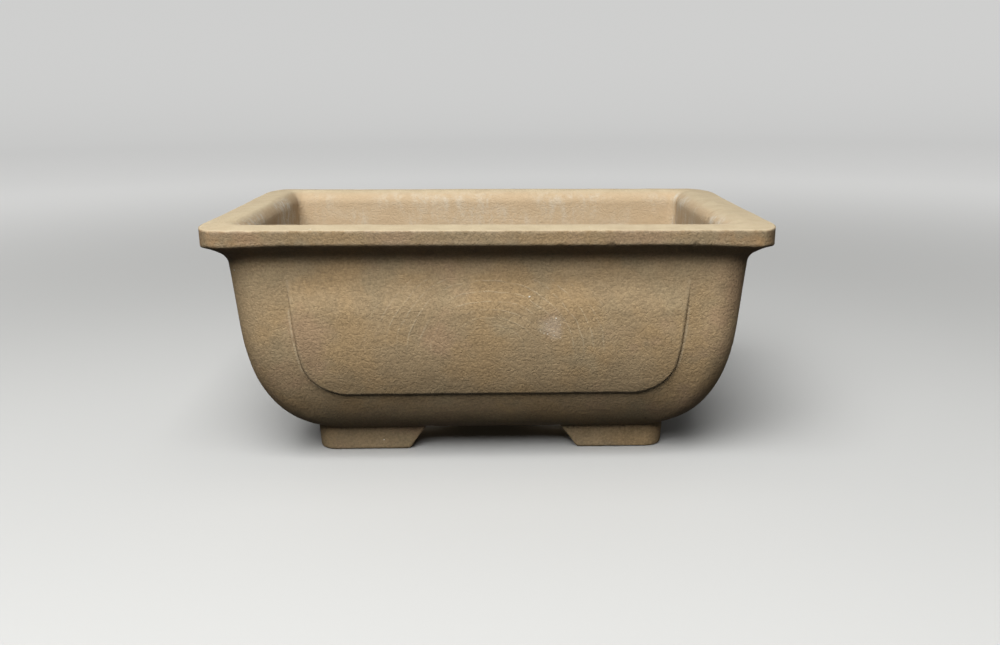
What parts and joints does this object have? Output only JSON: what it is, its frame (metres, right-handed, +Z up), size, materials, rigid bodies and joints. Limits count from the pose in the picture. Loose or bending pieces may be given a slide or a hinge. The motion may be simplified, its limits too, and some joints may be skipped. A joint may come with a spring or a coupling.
{
  "type": "bonsai pot",
  "caption": "Rectangular unglazed stoneware bonsai pot with an outward lip, bag-shaped walls, raised panels and cut corner feet.",
  "frame": {"origin": "on the surface the feet stand on, under the middle of the pot", "axes": "+X along the long side, -Y is the front, +Z up"},
  "size_m": [0.15, 0.105, 0.0664],
  "materials": {
    "clay_wall": "unglazed, fine sandy grain, matt",
    "clay_rim": "unglazed, worn paler along its edges, lime deposit inside",
    "clay_panel": "unglazed, faint trowel wrinkles, lime specks",
    "clay_floor": "unglazed, rough, stained by soil",
    "clay_foot": "unglazed, cut edges, matt"
  },
  "bodies": {
    "root": {"floor": "clay_floor", "wall_front": "clay_wall", "wall_back": "clay_wall", "wall_left": "clay_wall", "wall_right": "clay_wall", "rim_front": "clay_rim", "rim_back": "clay_rim", "rim_left": "clay_rim", "rim_right": "clay_rim", "panel_front": "clay_panel", "panel_back": "clay_panel", "panel_left": "clay_panel", "panel_right": "clay_panel", "foot_front_left": "clay_foot", "foot_front_right": "clay_foot", "foot_back_left": "clay_foot", "foot_back_right": "clay_foot"}
  },
  "joints": []
}
